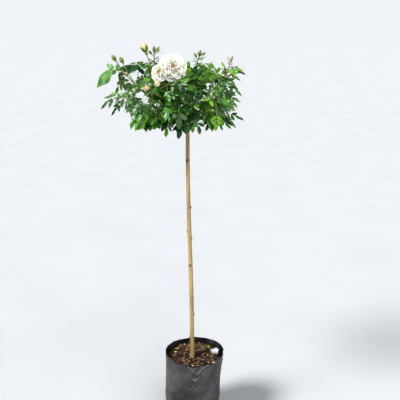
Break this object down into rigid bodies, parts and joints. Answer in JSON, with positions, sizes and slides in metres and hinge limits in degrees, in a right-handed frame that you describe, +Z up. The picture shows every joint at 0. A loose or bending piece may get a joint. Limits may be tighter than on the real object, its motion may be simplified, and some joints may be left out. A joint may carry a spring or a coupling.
{
  "type": "potted standard rose",
  "caption": "Standard rose with one bare stem and a round leafy head with white double flowers and buds, in a soft grower's bag of bark mix.",
  "frame": {"origin": "centre of the bag's flat underside, which stands on the ground", "axes": "+Z up along the stem, -Y towards the front of the plant, +X to the right seen from the front"},
  "size_m": [0.4914, 0.3799, 1.4286],
  "materials": {
    "bag_film": "black polythene film, soft sheen, creased",
    "bark_mix": "dark moist bark mulch with paler chips",
    "stem_bark": "smooth tan bark with a hint of green, pruned spurs",
    "cane_bark": "green young cane, brownish red on its sunny side, with prickles",
    "foliage": "semi-gloss green leaves, paler new growth",
    "petals": "soft white petals, cream at the heart",
    "buds": "pale apricot petals in green sepals"
  },
  "bodies": {
    "root": {"planter_bag": "bag_film", "potting_soil": "bark_mix", "trunk": "stem_bark", "cane_bloom": "cane_bark", "cane_front_left": "cane_bark", "cane_front_low": "cane_bark", "cane_front_right": "cane_bark", "cane_left_long": "cane_bark", "cane_left_low": "cane_bark", "cane_top_left": "cane_bark", "cane_top_right": "cane_bark", "cane_right_long": "cane_bark", "cane_right_low": "cane_bark", "cane_back_left": "cane_bark", "cane_back": "cane_bark", "cane_back_right": "cane_bark", "foliage_bloom": "foliage", "foliage_front_left": "foliage", "foliage_front_low": "foliage", "foliage_front_right": "foliage", "foliage_left_long": "foliage", "foliage_left_low": "foliage", "foliage_top_left": "foliage", "foliage_top_right": "foliage", "foliage_right_long": "foliage", "foliage_right_low": "foliage", "foliage_back_left": "foliage", "foliage_back": "foliage", "foliage_back_right": "foliage"}
  },
  "joints": []
}
